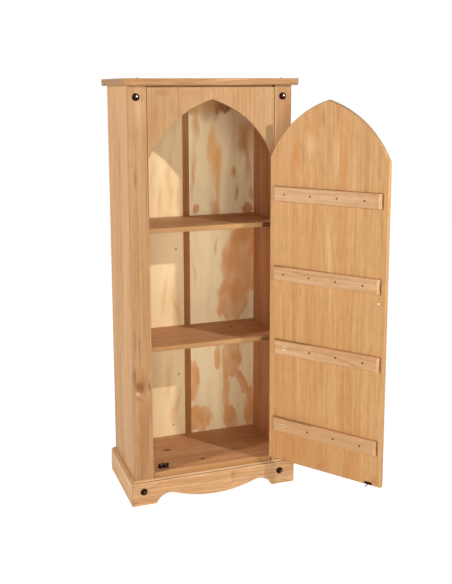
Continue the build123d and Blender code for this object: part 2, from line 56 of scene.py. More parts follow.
def low_mm(node, axis):
    """The lowest place of a piece of the frame at rest, in millimetres."""
    return round(1000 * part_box(node)[0][axis], 1)


def high_mm(node, axis):
    """The highest place of a piece of the frame at rest, in millimetres."""
    return round(1000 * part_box(node)[1][axis], 1)


def middle_mm(node, axis):
    """Halfway between the two."""
    return (low_mm(node, axis) + high_mm(node, axis)) / 2


# Where things are, in millimetres, as the cabinet stands: X to the right, Y to the back, Z up.
# What is on the door is placed as if the door were shut.
FRONT_Y = low_mm("stile_left", Y)
TOP_FRONT_Y = low_mm("top_board", Y)
TOP_Z = high_mm("top_board", Z)
PLINTH_FRONT_Y = low_mm("plinth_front", Y)
PLY_FRONT_Y = low_mm("back_panel_right", Y)
PLY_BACK_Y = high_mm("back_panel_right", Y)
CATCH_X = middle_mm("catch_body", X)
CATCH_TOP_Z = high_mm("catch_body", Z)

joint = next(joint for joint in frame["joints"] if joint["name"] == "door_hinge")
HINGE = 1000 * Vector((*joint["pos_m"][:2], 0))
DOOR_OPEN = radians(-joint["range_deg"][0])
HINGE_Z = [middle_mm(f"hinge_{number}_pin", Z) for number in (1, 2)]
DOOR_GAP = 2.5                  # the hinge pins stand in the middle of it
DOOR_HALF = HINGE.x - DOOR_GAP / 2
DOOR_BACK_Y = FRONT_Y + 16
BATTEN_FACE_Y = DOOR_BACK_Y + 12
STRIKE_FACE_Y = DOOR_BACK_Y + 1.4

BATTEN_LENGTH = 349.0
BATTEN_WIDTH = 42.0
# Each batten's distance from the door's hinged edge, its height there and its tilt in degrees.
BATTENS = ((17.5, 212.5, 0.0), (20.5, 460.96, 0.55), (15.5, 689.01, 0.0), (15.5, 929.97, 0.0))
FIRST_SCREW = 39.5              # from the hinged end of a batten
SCREW_RUN = 260.1               # from its first screw to its last
TOP_SCREWS = [(x, y) for x in (-219, 219) for y in (-262.5, -15)]
LEAF_REACH = 0.15               # from a hinge pin's middle to the face of each leaf
# The screws of a hinge: their place from front to back, and how far above its middle.
HINGE_SCREWS = ((-261.5, -21), (-266, 0), (-261.5, 21))
# Pins through the back panels: along both edges and on both sides of the strip.
BACK_PINS = [(x, z) for x in (-241, -15, 15, 241) for z in range(100, 1240, 95)]


# ---------------------------------------------------------------- small helpers
def linear(code):
    """An sRGB hex colour as linear red, green and blue."""
    parts = [int(code[i:i + 2], 16) / 255 for i in (1, 3, 5)]
    return [p / 12.92 if p <= 0.04045 else ((p + 0.055) / 1.055) ** 2.4 for p in parts]


def add(tree, kind, inputs=(), **settings):
    """Add a node with its settings, and set or link its inputs, which come in their order or by
    name. A node given as an input is linked by its first live output, and a hex colour is
    turned to linear."""
    node = tree.nodes.new("ShaderNode" + kind)
    for name, value in settings.items():
        setattr(node, name, value)
    for key, value in inputs.items() if isinstance(inputs, dict) else enumerate(inputs):
        socket = node.inputs[key]
        if isinstance(value, bpy.types.Node):
            value = next(output for output in value.outputs if output.enabled)
        if isinstance(value, bpy.types.NodeSocket):
            tree.links.new(value, socket)
            continue
        if isinstance(value, str):
            value = linear(value)
        socket.default_value = (*value[:3], 1.0) if socket.type == "RGBA" else value
    return node


def new_material(name):
    """An empty node material and its node tree."""
    material = bpy.data.materials.new(name)
    material.use_nodes = True
    material.node_tree.nodes.clear()
    return material, material.node_tree


def finish(material, *names):
    """Give boards or fittings of the frame their finish."""
    for name in names:
        slots = frame["nodes"][name].data.materials
        slots.clear()
        slots.append(material)


def opened():
    """Turns what is drawn on the shut door, in millimetres, to where the door stands open."""
    turn = Matrix.Rotation(DOOR_OPEN, 4, "Z")
    return Matrix.Translation(HINGE) @ turn @ Matrix.Translation(-HINGE)


def make_piece(name, body, slot, material, *shapes):
    """Make a piece that rides on a body. A shape is a function that draws it, in millimetres,
    and the places, as matrices, of all its copies."""
    bm = bmesh.new()
    for draw, places in shapes:
        for place in places:
            start = len(bm.verts)
            draw(bm)
            bm.verts.ensure_lookup_table()
            bmesh.ops.transform(bm, matrix=place, verts=bm.verts[start:])
    bmesh.ops.scale(bm, vec=(0.001,) * 3, verts=bm.verts)
    bmesh.ops.recalc_face_normals(bm, faces=bm.faces)
    mesh = bpy.data.meshes.new(name)
    bm.to_mesh(mesh)
    bm.free()
    mesh.shade_smooth()
    mesh.set_sharp_from_angle(angle=radians(35))
    mesh.materials.append(material)
    piece = bpy.data.objects.new(name, mesh)
    bpy.context.scene.collection.objects.link(piece)
    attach(piece, body)


# ---------------------------------------------------------------- patterns, in millimetres
def turned_back(on_door):
    """The turn and the move that take the open door's boards back to shut."""
    if not on_door:
        return Matrix.Identity(3), Vector((0, 0, 0))
    turn = Matrix.Rotation(-DOOR_OPEN, 3, "Z")
    return turn, HINGE - turn @ HINGE


def cabinet_mm(tree, on_door=False):
    """Object coordinates in millimetres, with the door's turned back to shut."""
    turn, move = turned_back(on_door)
    return add(tree, "Mapping", {
        "Vector": add(tree, "TexCoord").outputs["Object"], "Location": move,
        "Rotation": turn.to_euler(), "Scale": (1000, 1000, 1000)})


def distance(tree, place, middle, sizes, lean=0):
    """How far a place is from a spot's middle, in its half sizes. A lean, in degrees, moves
    the spot's upper end to the right."""
    spot = add(tree, "Mapping", {
        "Vector": place, "Location": middle, "Rotation": (0, radians(lean), 0),
        "Scale": sizes}, vector_type="TEXTURE")
    return add(tree, "VectorMath", [spot], operation="LENGTH")


def spot_mask(tree, place, middle, sizes, rim=1.0, lean=0):
    """One at a spot's middle, falling to nothing over its rim, a share of its half sizes."""
    far = distance(tree, place, middle, sizes, lean)
    return add(tree, "MapRange", (far, 1 - rim, 1, 1, 0), interpolation_type="SMOOTHSTEP")


def noise(tree, grain, sizes, seed, detail=2.0, roughness=0.5):
    """Noise whose blotches have the given sizes: across, through and along the grain."""
    way = add(tree, "VectorMath", (grain, [1 / size for size in sizes]), operation="MULTIPLY")
    return add(tree, "TexNoise", {
        "Vector": way, "W": seed, "Scale": 1.0, "Detail": detail, "Roughness": roughness},
        noise_dimensions="4D")


def shaded(tree, colour, pattern, *span):
    """A colour made darker and lighter by a pattern. The span is what the pattern runs from and
    to, and the brightness there."""
    return add(tree, "VectorMath", {
        0: colour, "Scale": add(tree, "MapRange", (pattern, *span))}, operation="SCALE")


def painted(tree, colour, paint, mask, *fades):
    """Paint laid over a colour where the mask is high, thinned by each of the fades."""
    for fade in fades:
        mask = add(tree, "Math", (mask, fade), operation="MULTIPLY")
    return add(tree, "Mix", {0: mask, 6: colour, 7: paint}, data_type="RGBA")


def knot(tree, place, colour, middle, sizes, core, halo):
    """A knot: reddish wood round a dark core."""
    colour = painted(tree, colour, "#96582F",
                     spot_mask(tree, place, middle, [1.9 * size for size in sizes]), halo)
    return painted(tree, colour, "#4A2210", spot_mask(tree, place, middle, sizes, 0.45), core)


def shape_ramp(node, *points):
    """Give a colour ramp its points, each a position and a grey, joined by smooth curves."""
    ramp = node.color_ramp
    ramp.interpolation = "EASE"
    while len(ramp.elements) < len(points):
        ramp.elements.new(0.5)
    for element, (position, grey) in zip(ramp.elements, points):
        element.position = position
        element.color = (grey, grey, grey, 1)


def stains_on(y, depth, *rows):
    """Stains on the face at y, as deep as said. A row is a stain's x, z, half width, half
    height, colour and amount, and where they aren't 0 and 1 its lean and the softness of its
    rim."""
    def stain(x, z, wide, high, colour, amount, lean=0, rim=1.0):
        return (x, y, z), (wide, depth, high), rim, lean, colour, amount
    return [stain(*row) for row in rows]


# ---------------------------------------------------------------- wood
# Which way a board lies: the cabinet axes that run across it, through its thickness, along it.
LIES = {
    "upright front": (X, Y, Z),
    "upright side": (Y, X, Z),
    "level front": (Z, Y, X),
    "level side": (Z, X, Y),
    "flat": (Y, Z, X),
}


def turn_into_board(lie, tilt):
    """The rotation from cabinet axes to across, through and along, with the grain's lean."""
    turn = Matrix([Matrix.Identity(3)[axis] for axis in LIES[lie]])
    if turn.determinant() < 0:
        turn[1] *= -1
    return Euler((radians(tilt[0]), radians(tilt[1]), 0)).to_matrix() @ turn


def pine(name, lie, heart, seed, colours, tilt=(0.0, 0.0), rings=6.4, stave=0.0, wander=9.0,
         figure=0.6, knots=(), stains=(), joints=(), batten_shade_lines=(), on_door=False, shine=0.46,
         tone=0.5, end_grain=0.55, streaky=1.0):
    """Planed pine, rubbed with honey wax. Straight growth rings show as fine darker lines, the
    fibres as a silky streak, and the wax gives a low sheen that the hard late wood catches.

    heart is the log's centre line, in millimetres across and through the board. colours are those of the early
    wood, the late wood and the warm streaks. rings is the spacing of the year rings: 3 to 5 mm in the wood, drawn
    wider so that it shows. stave is the width of boards glued edge to edge. knots are middle, half sizes, dark
    core and red halo. stains come from stains_on. joints are middle and half sizes of a dark line of painted shade
    where parts meet, and batten_shade_lines are middle and lean of the battens round which a dark line of painted
    shade is laid."""
    light, dark, warm = colours
    material, tree = new_material(name)
    place = cabinet_mm(tree, on_door)
    turn = turn_into_board(lie, tilt)
    grain = add(tree, "Mapping", {
        "Vector": place, "Rotation": turn.to_euler(), "Location": (-heart[0], -heart[1], 0)})
    if stave:
        # Each of the narrower boards comes from another part of the log.
        across = add(tree, "SeparateXYZ", [grain])
        number = add(tree, "Math", (across, stave), operation="DIVIDE")
        number = add(tree, "Math", [number], operation="FLOOR")
        seed = add(tree, "Math", (number, 3.7, seed), operation="MULTIPLY_ADD")
        shift = add(tree, "VectorMath", {
            0: (-0.6 * stave, 13.0, 0), "Scale": number}, operation="SCALE")
        grain = add(tree, "VectorMath", (grain, shift))

    # The log is never quite straight: the ring centre wanders slowly along the board.
    drift = noise(tree, grain, (70, 70, 420), seed, roughness=0.35).outputs["Color"]
    bend = add(tree, "VectorMath", (
        drift, (2 * wander, 2 * wander, 0), (-wander, -wander, 0)), operation="MULTIPLY_ADD")
    flat = add(tree, "VectorMath", (grain, (1, 1, 0), bend), operation="MULTIPLY_ADD")
    radius = add(tree, "VectorMath", [flat], operation="LENGTH")
    for middle, sizes, _, _ in knots:
        # The rings flow round a knot, so they are pushed away from its middle.
        push = spot_mask(tree, place, middle, [2.6 * size for size in sizes])
        radius = add(tree, "Math", (push, 2.4 * rings, radius), operation="MULTIPLY_ADD")
    years = add(tree, "Math", (radius, rings), operation="DIVIDE")
    # Good and lean years: rings are not all as wide or as dark.
    lean_years = add(tree, "TexNoise", {"W": years, "Scale": 0.37, "Detail": 2.0},
                     noise_dimensions="1D")
    years = add(tree, "Math", (lean_years, 4.6, years), operation="MULTIPLY_ADD")
    late = add(tree, "ValToRGB", [add(tree, "Math", [years], operation="FRACT")])
    shape_ramp(late, (0.12, 0.0), (0.6, 0.2), (0.84, 1.0), (0.92, 0.85), (1.0, 0.0))
    hard_years = add(tree, "MapRange", (lean_years, 0.38, 0.62, 0.35, 1.0))

    fibre = noise(tree, grain, (1.8, 1.8, 55), seed, 3.0, 0.65)
    streak = noise(tree, grain, (6.5, 6.5, 380), seed, 3.0, 0.72)
    slow = noise(tree, grain, (38, 38, 640), seed)
    cloud = noise(tree, grain, (14, 14, 36), seed, 3.0, 0.6)
    strength = add(tree, "Math", (
        add(tree, "MapRange", (slow, 0.3, 0.7, 0.2 * figure, figure)),
        add(tree, "Math", (hard_years, late), operation="MULTIPLY")), operation="MULTIPLY")
    colour = painted(tree, light, dark, strength)
    colour = painted(tree, colour, warm, add(tree, "MapRange", (slow, 0.45, 0.72, 0.0, tone)))
    # Streaks take up more wax, so they go browner as they darken.
    soaked = add(tree, "Math", (
        add(tree, "MapRange", (streak, 0.34, 0.66, 0.3 + 0.32 * streaky, 0.3 - 0.35 * streaky)),
        add(tree, "MapRange", (fibre, 0.3, 0.7, 0.28, -0.08))))
    colour = add(tree, "VectorMath", (colour, (1.09, 1.15, 1.22)), operation="MULTIPLY")
    colour = add(tree, "Mix", {0: soaked, 6: colour, 7: "#DDC5AA"}, data_type="RGBA",
                 blend_type="MULTIPLY")
    colour = shaded(tree, colour, cloud, 0.3, 0.7, 0.93, 1.07)
    for middle, sizes, rim, lean, stain, amount in stains:
        # A darker, redder or paler patch whose rim frays along the fibres.
        colour = painted(tree, colour, stain, spot_mask(tree, place, middle, sizes, rim, lean),
                         add(tree, "MapRange", (streak, 0.35, 0.6, 0.35 * amount, amount)))
    for spot in knots:
        colour = knot(tree, place, colour, *spot)
    # Cut ends drink the wax and turn darker than the faces.
    facing = add(tree, "TexCoord").outputs["Normal"]
    for rotation in (turned_back(on_door)[0], turn):
        facing = add(tree, "Mapping", {
            "Vector": facing, "Rotation": rotation.to_euler()}, vector_type="VECTOR")
    ends = add(tree, "SeparateXYZ", [facing]).outputs["Z"]
    ends = add(tree, "Math", [ends], operation="ABSOLUTE")
    colour = painted(tree, colour, "#6E4524",
                     add(tree, "MapRange", (ends, 0.25, 0.75, 0.0, end_grain)))
    # A dark line of painted shade where parts meet.
    for middle, sizes in joints:
        colour = painted(tree, colour, "#4A2812", spot_mask(tree, place, middle, sizes, 0.6), 0.85)
    # Painted shade round each batten, where it stands off the door.
    for middle, lean in batten_shade_lines:
        colour = painted(tree, colour, "#6A3D1C", *batten_shade(tree, place, middle, lean))

    surface = add(tree, "BsdfPrincipled", {
        "Base Color": colour,
        "Roughness": add(tree, "MapRange", (fibre, 0.3, 0.7, shine + 0.1, shine - 0.04)),
        "Normal": add(tree, "Bump", {
            "Height": add(tree, "Math", (fibre, 0.5, strength), operation="MULTIPLY_ADD"),
            "Strength": 0.25, "Distance": 0.00025}),
        "IOR": 1.5, "Specular IOR Level": 0.16})
    add(tree, "OutputMaterial", [surface])
    return material


def batten_shade(tree, place, middle, lean):
    """Two masks for the painted shade round a batten: one that falls to nothing 3.6 mm away from it, and one that
    is high only on the face that it is screwed to."""
    away = add(tree, "Mapping", {
        "Vector": place, "Location": middle, "Rotation": (0, radians(lean), 0)},
        vector_type="TEXTURE")
    along, through, across = add(tree, "SeparateXYZ", [away]).outputs
    beyond = []
    for way, size in ((along, BATTEN_LENGTH), (across, BATTEN_WIDTH)):
        way = add(tree, "Math", [way], operation="ABSOLUTE")
        beyond.append(add(tree, "Math", (way, size / 2), operation="SUBTRACT"))
    beyond = add(tree, "Math", beyond, operation="MAXIMUM")
    return (add(tree, "MapRange", (beyond, 0.0, 3.6, 0.8, 0.0)),
            add(tree, "MapRange", (through, -1.0, -0.2, 0.0, 1.0)))


def plywood(name, pale, seed, field_figure_and_shade, pips=(), tongue=None, tongues=()):
    """Rotary-cut pine plywood, sanded and lacquered. The knife meets each year ring at a slant,
    so the face shows broad pale fields and wide tongues of late wood, whose rims are the darkest,
    and the skin stays matt.

    field_figure_and_shade are stains of the pale field: figure, and on the right panel some painted shade. pips
    are middle and half sizes of pin knots. The tongues share one colour, and each has its x, z, half width, half
    height, lean and amount."""
    material, tree = new_material(name)
    place = cabinet_mm(tree)
    wave = noise(tree, place, (60, 60, 120), seed, 3.0).outputs["Color"]
    small = noise(tree, place, (13, 13, 34), seed).outputs["Color"]
    bent = add(tree, "VectorMath", (wave, (60, 0, 110), place), operation="MULTIPLY_ADD")
    bent = add(tree, "VectorMath", (small, (10, 0, 22), bent), operation="MULTIPLY_ADD")
    bent = add(tree, "VectorMath", (bent, (35, 0, 66)), operation="SUBTRACT")
    fibre = noise(tree, place, (1.8, 1.8, 60), seed, 2.0, 0.6)
    broad = noise(tree, bent, (34, 34, 300), seed + 3, 2.0, 0.55)
    drip = noise(tree, place, (7, 7, 60), seed + 6, 2.0, 0.55)
    uneven = noise(tree, place, (45, 45, 80), seed + 9)

    # The pale field has only a breath of cathedral figure.
    colour = painted(tree, pale, "#E2BF8C", add(tree, "MapRange", (broad, 0.46, 0.66, 0.0, 0.3)))
    # Stains of the pale field, some of them painted shade.
    for middle, sizes, rim, lean, stain, amount in field_figure_and_shade:
        colour = painted(tree, colour, stain, spot_mask(tree, bent, middle, sizes, rim, lean),
                         add(tree, "MapRange", (drip, 0.3, 0.7, 0.8 * amount, 1.05 * amount)))
    level = None
    for x, z, wide, high, lean, amount in tongues:
        far = distance(tree, bent, (x, PLY_FRONT_Y, z), (wide, 40, high), lean)
        inside = add(tree, "Math", (far, -amount, amount), operation="MULTIPLY_ADD")
        level = inside if level is None else add(
            tree, "Math", (level, inside, 0.12), operation="SMOOTH_MAX")
    if tongues:
        # The rims run out in drips along the grain, dark where the ring is cut short and lost
        # where it is cut long.
        level = add(tree, "Math", (level, add(tree, "MapRange", (drip, 0.3, 0.7, -0.09, 0.11))))
        shaped = add(tree, "ValToRGB", [level])
        shape_ramp(shaped, (0.0, 0.0), (0.08, 0.4), (0.17, 0.8), (0.3, 0.76), (0.6, 0.8),
                   (0.9, 0.88))
        colour = painted(tree, colour, tongue, shaped,
                         add(tree, "MapRange", (fibre, 0.3, 0.7, 0.8, 1.0)),
                         add(tree, "MapRange", (uneven, 0.36, 0.6, 0.62, 1.1)))
    colour = shaded(tree, colour, fibre, 0.3, 0.7, 0.96, 1.03)
    for middle, sizes in pips:
        colour = knot(tree, place, colour, middle, sizes, 0.85, 0.5)
    surface = add(tree, "BsdfPrincipled", {
        "Base Color": colour, "Roughness": 0.62, "IOR": 1.5, "Specular IOR Level": 0.12,
        "Normal": add(tree, "Bump", {"Height": fibre, "Strength": 0.2, "Distance": 0.0002})})
    add(tree, "OutputMaterial", [surface])
    return material


# ---------------------------------------------------------------- metal and nylon
def iron(name, colour, rough, dent=0.0, crown_highlights=()):
    """Forged iron under a baked black lacquer. The lacquer gives a brown-black gloss in clouds 2 mm across, and
    the hammer's shallow dents, some 3 mm across, break up its highlights. On the crown of a stud a bright spot of
    bare grey metal is laid as a painted highlight. crown_highlights are middle and half size of those spots."""
    material, tree = new_material(name)
    place = cabinet_mm(tree)
    dents = add(tree, "TexVoronoi", {"Vector": place, "Scale": 1 / 3.0}, feature="SMOOTH_F1")
    cloud = add(tree, "TexNoise", {"Vector": place, "Scale": 1 / 2.0, "Detail": 3.0})
    colour = shaded(tree, colour, cloud, 0.35, 0.7, 0.7, 1.5)
    metal = 0.0
    # Bare grey metal on the crowns: painted highlights.
    for middle, size in crown_highlights:
        crown = spot_mask(tree, place, middle, (size, 12, size), 0.9)
        metal = add(tree, "Math", (metal, crown), operation="MAXIMUM")
    if crown_highlights:
        colour = painted(tree, colour, "#CDBCAB", metal)
    surface = add(tree, "BsdfPrincipled", {
        "Base Color": colour, "Metallic": metal, "IOR": 1.5, "Specular IOR Level": 0.14,
        "Specular Tint": "#B08868",
        "Roughness": add(tree, "MapRange", (cloud, 0.3, 0.7, rough - 0.08, rough + 0.1)),
        "Normal": add(tree, "Bump", {"Height": dents, "Strength": dent, "Distance": 0.0006})})
    add(tree, "OutputMaterial", [surface])
    return material


def steel(name, colour, rough):
    """Zinc-plated steel, as stamped: a grey metal with a cloudy gloss, the crystals of the
    plating some 0.8 mm across."""
    material, tree = new_material(name)
    cloud = add(tree, "TexNoise", {
        "Vector": cabinet_mm(tree), "Scale": 1.3, "Detail": 4.0, "Roughness": 0.65})
    surface = add(tree, "BsdfPrincipled", {
        "Base Color": shaded(tree, colour, cloud, 0.3, 0.7, 0.85, 1.08), "Metallic": 1.0,
        "Roughness": add(tree, "MapRange", (cloud, 0.3, 0.7, rough + 0.12, rough - 0.06))})
    add(tree, "OutputMaterial", [surface])
    return material


def nylon(name, colour):
    """Moulded black nylon: a waxy dark plastic with a faint orange-peel skin, 0.5 mm across."""
    material, tree = new_material(name)
    peel = add(tree, "TexNoise", {"Vector": cabinet_mm(tree), "Scale": 1 / 0.5, "Detail": 2.0})
    surface = add(tree, "BsdfPrincipled", {
        "Base Color": shaded(tree, colour, peel, 0.3, 0.7, 0.8, 1.25), "Roughness": 0.5,
        "IOR": 1.53,
        "Normal": add(tree, "Bump", {"Height": peel, "Strength": 0.3, "Distance": 0.0002})})
    add(tree, "OutputMaterial", [surface])
    return material


# ---------------------------------------------------------------- sizes and colours to change
def colour_setting(name, code, description):
    """A colour to change, with its sRGB hex start."""
    return FloatVectorProperty(name=name, description=description, subtype="COLOR", size=3,
                               min=0.0, max=1.0, default=linear(code))


def wood_setting(boards, part, code):
    """The colour of the early wood, the late wood or the warm streaks in some of the boards."""
    return colour_setting(f"{boards}, {part}", code, f"Colour of the {part} ({boards.lower()})")


def length_setting(name, metres, description):
    """A length to change, in metres."""
    return FloatProperty(name=name, description=description, default=metres, min=0.0,
                         subtype="DISTANCE", unit="LENGTH")


def power_setting(name, watts, description):
    """The power of a lamp, in watts."""
    return FloatProperty(name=name, description=description, default=watts, min=0.0,
                         subtype="POWER", unit="POWER")


class WoodSettings(bpy.types.PropertyGroup):
    """Colours of the cabinet's woods."""
    case_light: wood_setting("Frame", "early wood", "#B68E63")
    case_dark: wood_setting("Frame", "late wood", "#98673B")
    case_warm: wood_setting("Frame", "warm streaks", "#A97848")
    side_light: wood_setting("Sides", "early wood", "#D2A26E")
    side_dark: wood_setting("Sides", "late wood", "#AD7440")
    door_light: wood_setting("Door", "early wood", "#C99C69")
    door_dark: wood_setting("Door", "late wood", "#A8713E")
    door_warm: wood_setting("Door", "warm streaks", "#BF834A")
    batten_light: wood_setting("Battens", "early wood", "#CCA47A")
    batten_dark: wood_setting("Battens", "late wood", "#B17F4F")
    shelf_light: wood_setting("Shelves", "early wood", "#C5956A")
    shelf_dark: wood_setting("Shelves", "late wood", "#A16C45")
    shelf_warm: wood_setting("Shelves", "warm streaks", "#B17B4E")
    inner_light: wood_setting("Inner side", "early wood", "#C9946D")
    inner_dark: wood_setting("Inner side", "late wood", "#A5693E")
    front_light: wood_setting("Plinth front", "early wood", "#D0A477")
    front_dark: wood_setting("Plinth front", "late wood", "#986937")
    plinth_light: wood_setting("Plinth", "early wood", "#E0B280")
    plinth_dark: wood_setting("Plinth", "late wood", "#A6723E")
    ply_yellow: colour_setting("Plywood, left", "#F5DBAB", "The pale field of the left back")
    ply_pale: colour_setting("Plywood, right", "#FFEBBD", "The pale field of the right back")
    ply_tongue: colour_setting("Plywood, tongues", "#E69C52", "The brown tongues of the back")
    strip: colour_setting("Back strip", "#A36B37", "The dark strip that joins the back panels")


class FittingSettings(bpy.types.PropertyGroup):
    """Sizes and colours of the metalwork and small fastenings."""
    iron_colour: colour_setting("Black iron", "#22130B", "Lacquer on studs, catch and pull")
    steel_colour: colour_setting("Steel", "#C4C1BC", "Plated screws and hinges")
    nylon_colour: colour_setting("Nylon", "#262524", "Rollers of the catch")
    batten_screw: length_setting("Batten screw head", 0.0032, "Radius of the heads in the battens")
    batten_screws: IntProperty(name="Screws in a batten", description="Screws along one batten",
                               default=4, min=1, max=8)
    top_screw: length_setting("Top screw head", 0.0032, "Radius of the domed heads on the top")
    hinge_screw: length_setting("Hinge screw head", 0.0021, "Radius of the flush heads in the hinges")
    back_pin: length_setting("Back pin head", 0.0016, "Radius of the pins that hold the back")


class StageSettings(bpy.types.PropertyGroup):
    """The studio round the cabinet."""
    floor: colour_setting("Floor", "#F2F0EC", "The pale floor that the cabinet stands on")
    key: power_setting("Key lamp", 27.5, "Power of the small lamp at the right")
    front: power_setting("Front lamp", 22.9, "Power of the broad lamp in front")
    side: power_setting("Side lamp", 51.5, "Power of the lamp level with the left side")
    left: power_setting("Left lamp", 26.2, "Power of the broad lamp at the front left")
    sky: FloatProperty(name="Room light", description="Strength of the light from all round",
                       default=0.0, min=0.0)


# ---------------------------------------------------------------- case
class CABINET_OT_case(bpy.types.Operator):
    """Finish the top, the sides and the front frame of the case"""
    bl_idname = "cabinet.case"
    bl_label = "Case boards"

    def execute(self, context):
        wood = context.scene.cabinet_wood
        colours = wood.case_light, wood.case_dark, wood.case_warm
        finish(pine(
            "waxed pine, top board", "flat", (-150, 1190), 1.3, colours, tilt=(0.0, 3.0),
            figure=0.8, tone=0.6, end_grain=0.28, streaky=1.4, stains=stains_on(
                TOP_FRONT_Y, 12,
                (0, 1258, 900, 14, "#A56E42", 0.2), (-175, 1261, 60, 4, "#8F5A33", 0.6),
                (-95, 1255, 50, 5, "#8A5630", 0.6), (-20, 1263, 45, 3, "#9A6238", 0.6),
                (40, 1256, 60, 4, "#97603A", 0.5), (60, 1264, 90, 3, "#D9AC7C", 0.6),
                (150, 1255, 70, 5, "#9A6238", 0.5), (-235, 1256, 28, 6, "#C99A72", 0.5),
                (215, 1262, 40, 4, "#8F5A33", 0.5))), "top_board")
        finish(pine("waxed pine, left side", "upright side", (-40, -420), 4.1,
                    (wood.side_light, wood.side_dark, wood.case_warm), stave=86.0, figure=0.5),
               "side_panel_left")
        finish(pine("waxed pine, right side", "upright side", (-60, 400), 9.7,
                    (wood.inner_light, wood.inner_dark, wood.case_warm), stave=92.0, figure=0.5),
               "side_panel_right")
        # A dark line of painted shade is laid where the stiles meet the head.
        seam_shade = [((x, FRONT_Y, 1243), (1.7, 40, 600)) for x in (-195, 195)]
        finish(pine(
            "waxed pine, left stile", "upright front", (-360, -170), 2.2, colours,
            joints=seam_shade[:1], knots=[((-226, FRONT_Y, 368), (22, 30, 22), 0.0, 0.3)],
            stains=stains_on(
                FRONT_Y, 20,
                (-232, 985, 8, 42, "#7E5030", 0.7), (-246, 400, 8, 46, "#5F3A1E", 1.0),
                (-231, 370, 22, 26, "#70401F", 1.0), (-224, 362, 6, 22, "#5A3818", 1.0),
                (-201, 366, 6, 24, "#66401F", 0.9, -8), (-222, 396, 30, 54, "#9A6A3E", 0.5),
                (-237, 347, 17, 7, "#E2B48A", 0.9, 32), (-233, 330, 19, 9, "#A8643A", 0.7, 32),
                (-207, 298, 9, 46, "#A8643A", 0.6), (-199, 290, 4, 64, "#85552F", 0.6),
                (-243, 510, 4, 90, "#85552F", 0.8), (-229, 492, 3.5, 90, "#7E5030", 0.85, 1),
                (-214, 560, 6, 120, "#9A6A3E", 0.5), (-238, 700, 5, 140, "#9A6A3E", 0.4),
                (-221, 190, 26, 200, "#98633A", 0.7), (-222, 1190, 32, 90, "#E0B58A", 0.45),
                (-208, 230, 5, 120, "#8A5A32", 0.6))), "stile_left")
        finish(pine(
            "waxed pine, right stile", "upright front", (420, -120), 6.6, colours, figure=0.55,
            joints=seam_shade[1:], stains=stains_on(
                FRONT_Y, 20,
                (222, 1130, 40, 160, "#A8724A", 0.5), (236, 1186, 8, 30, "#B4613A", 0.4))),
            "stile_right")
        finish(pine(
            "waxed pine, arched head", "upright front", (60, -520), 12.4, colours, figure=0.55,
            tone=0.3, joints=seam_shade, stains=stains_on(
                FRONT_Y, 20,
                (-150, 1228, 40, 16, "#94623A", 0.55), (-175, 1150, 44, 120, "#A06A3A", 0.4),
                (-168, 1170, 9, 60, "#9A6A3E", 0.5), (-120, 1190, 7, 50, "#9A6A3E", 0.45),
                (-60, 1225, 50, 12, "#A8723F", 0.4))), "head_panel")
        finish(pine("planed pine, inner rails", "level front", (900, -200), 3.0, colours),
               "bottom_rail", "top_rail_front", "top_rail_rear", "plinth_rear")
        finish(pine("planed pine, cleats", "level side", (700, 120), 5.0, colours),
               "top_cleats", "shelf_cleats", "floor_cleats")
        return {"FINISHED"}


class CABINET_OT_shelves(bpy.types.Operator):
    """Finish the two shelves and the floor board"""
    bl_idname = "cabinet.shelves"
    bl_label = "Shelves and floor"

    def execute(self, context):
        wood = context.scene.cabinet_wood
        colours = wood.shelf_light, wood.shelf_dark, wood.shelf_warm

        def edge(node, z, *knots):
            """Stains for a board's front edge, which is planed last and stays paler. knots gives the x of each
            dark patch of painted shade, where the stile's shadow falls on the edge; they are no knots."""
            y = low_mm(node, Y)
            # Dark patches of painted shade: the stile's shadow on the right end of the edge.
            dark = [(x, z, 18, 13, "#35190B", 0.95, 0, 0.35) for x in knots]
            return (stains_on(y, 1.4, (0, z, 900, 14, "#B28751", 0.85, 0, 0.3))
                    + stains_on(y + 0.5, 6, *dark))

        # At x 193 and 191 the edges get a patch of painted shade from the stile.
        finish(pine("waxed pine, upper shelf", "flat", (-80, 540), 7.5, colours, stave=88.0,
                    figure=0.5, stains=edge("shelf_upper", 824, 193)), "shelf_upper")
        finish(pine("waxed pine, lower shelf", "flat", (-120, 190), 8.8, colours, stave=88.0,
                    figure=0.5, stains=edge("shelf_lower", 461, 191),
                    knots=[((127, -79, 469), (6, 4.5, 6), 1.0, 0.6)]), "shelf_lower")
        finish(pine("waxed pine, floor board", "flat", (-150, -160), 10.9, colours, stave=92.0,
                    figure=0.5, stains=edge("floor_board", 80),
                    knots=[((-107, -117, 90), (14, 7, 6), 0.95, 0.7),
                           ((-20, -217, 90), (8.5, 5.5, 6), 1.0, 0.7)]), "floor_board")
        return {"FINISHED"}


